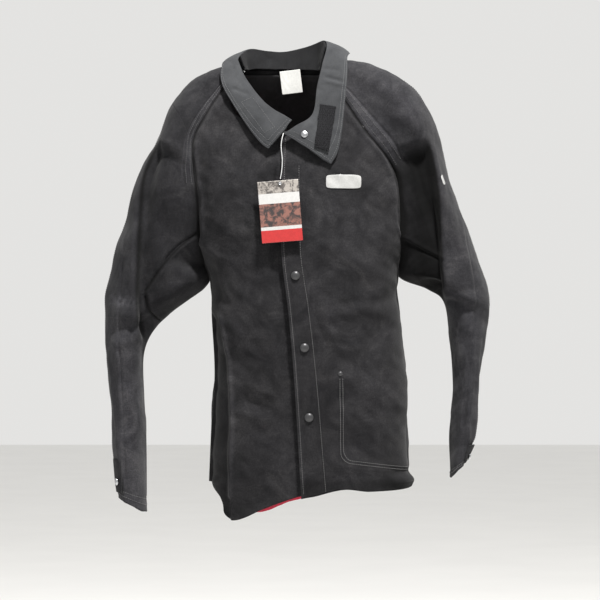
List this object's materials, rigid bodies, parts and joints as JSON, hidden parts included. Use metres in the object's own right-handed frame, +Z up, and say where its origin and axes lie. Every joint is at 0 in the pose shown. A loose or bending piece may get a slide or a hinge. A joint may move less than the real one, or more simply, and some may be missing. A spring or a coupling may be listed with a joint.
{
  "type": "leather welding jacket",
  "caption": "Long-sleeved suede leather welding jacket with raglan sleeves, a turned twill collar, a lapped snap front, cuff tabs, a red lining and a hang tag.",
  "frame": {"origin": "middle of the back neck seam, where a hanger or hook carries the jacket", "axes": "+Z up along the body, the front faces -Y, +X is the wearer's left"},
  "size_m": [0.6911, 0.2386, 0.8598],
  "materials": {
    "suede": "matt suede nap",
    "twill": "flame-resistant cotton twill",
    "satin": "woven lining",
    "hook_loop": "brushed pile",
    "black_snap": "satin enamel",
    "steel_snap": "polished",
    "label_cloth": "woven ribbon",
    "card": "coated card",
    "string": "twisted string"
  },
  "bodies": {
    "root": {"back_panel": "suede", "back_lining": "satin", "left_side_panel": "suede", "right_side_panel": "suede", "left_inner_pocket": "satin", "left_raglan_front": "suede", "left_raglan_back": "suede", "right_raglan_front": "suede", "right_raglan_back": "suede", "collar_stand": "twill", "collar_back": "twill"},
    "left_front": {"left_front_panel": "suede", "left_front_facing": "suede", "left_front_lining": "satin", "pocket_rivet": "black_snap", "front_snap_cap_1": "black_snap", "front_snap_cap_2": "black_snap", "front_snap_cap_3": "black_snap", "front_snap_cap_4": "black_snap", "front_snap_socket_1": "steel_snap", "front_snap_socket_2": "steel_snap", "front_snap_socket_3": "steel_snap", "front_snap_socket_4": "steel_snap"},
    "right_front": {"right_front_panel": "suede", "right_front_facing": "suede", "right_front_lining": "satin", "front_snap_stud_1": "steel_snap", "front_snap_stud_2": "steel_snap", "front_snap_stud_3": "steel_snap", "front_snap_stud_4": "steel_snap"},
    "left_collar": {"left_collar_leaf": "twill", "collar_loop_pad": "hook_loop", "neck_snap_cap": "steel_snap"},
    "right_collar": {"right_collar_leaf": "twill", "collar_hook_pad": "hook_loop"},
    "left_upper_sleeve": {"left_upper_sleeve_front": "suede", "left_upper_sleeve_back": "suede"},
    "right_upper_sleeve": {"right_upper_sleeve_front": "suede", "right_upper_sleeve_back": "suede"},
    "left_forearm": {"left_lower_sleeve_front": "suede", "left_lower_sleeve_back": "suede", "left_cuff_snap_stud": "steel_snap"},
    "right_forearm": {"right_lower_sleeve_front": "suede", "right_lower_sleeve_back": "suede", "right_cuff_snap_stud": "steel_snap"},
    "left_tab": {"left_cuff_tab": "suede", "left_cuff_snap_cap": "steel_snap"},
    "right_tab": {"right_cuff_tab": "suede", "right_cuff_snap_cap": "steel_snap"},
    "hang_tag": {"hang_tag_card": "card", "hang_tag_string": "string"},
    "label": {"neck_label": "label_cloth"}
  },
  "joints": [
    {"name": "left_front_fold", "type": "hinge", "parent": "root", "child": "left_front", "pos_m": [0.108, -0.058, 0.01], "axis": [-0.0837, 0.0706, 0.994], "range_deg": [0, 55]},
    {"name": "right_front_fold", "type": "hinge", "parent": "root", "child": "right_front", "pos_m": [-0.122, -0.064, 0.01], "axis": [0, 0.0499, 0.9988], "range_deg": [-33, 0]},
    {"name": "left_collar_flip", "type": "hinge", "parent": "left_front", "child": "left_collar", "pos_m": [0.066, -0.034, 0.038], "axis": [-0.382, -0.4564, -0.8036], "range_deg": [0, 70]},
    {"name": "right_collar_flip", "type": "hinge", "parent": "right_front", "child": "right_collar", "pos_m": [0.004, -0.117, -0.1], "axis": [-0.5496, 0.4752, 0.6871], "range_deg": [0, 70]},
    {"name": "left_shoulder", "type": "hinge", "parent": "root", "child": "left_upper_sleeve", "pos_m": [0.205, -0.024, -0.022], "axis": [0, -1, 0], "range_deg": [0, 60]},
    {"name": "right_shoulder", "type": "hinge", "parent": "root", "child": "right_upper_sleeve", "pos_m": [-0.209, -0.022, -0.065], "axis": [0, 1, 0], "range_deg": [0, 60]},
    {"name": "left_elbow", "type": "hinge", "parent": "left_upper_sleeve", "child": "left_forearm", "pos_m": [0.316, -0.089, -0.441], "axis": [-0.9234, 0, 0.3838], "range_deg": [0, 80]},
    {"name": "right_elbow", "type": "hinge", "parent": "right_upper_sleeve", "child": "right_forearm", "pos_m": [-0.29, -0.089, -0.476], "axis": [-0.9956, 0, -0.0937], "range_deg": [0, 80]},
    {"name": "left_tab_hinge", "type": "hinge", "parent": "left_forearm", "child": "left_tab", "pos_m": [0.3206, -0.0829, -0.677], "axis": [-0.262, 0.0903, -0.9608], "range_deg": [0, 60]},
    {"name": "right_tab_hinge", "type": "hinge", "parent": "right_forearm", "child": "right_tab", "pos_m": [-0.3024, -0.0846, -0.7013], "axis": [-0.057, -0.0111, 0.9983], "range_deg": [0, 60]},
    {"name": "tag_swing", "type": "hinge", "parent": "left_front", "child": "hang_tag", "pos_m": [-0.017, -0.136, -0.124], "axis": [0, 1, 0], "range_deg": [-25, 25]},
    {"name": "label_lift", "type": "hinge", "parent": "root", "child": "label", "pos_m": [-0.0005, -0.009, -0.0031], "axis": [-0.9928, 0, -0.12], "range_deg": [0, 70]}
  ],
  "couplings": [
    {"joint": "right_front_fold", "follows": "left_front_fold", "ratio": -0.6}
  ]
}
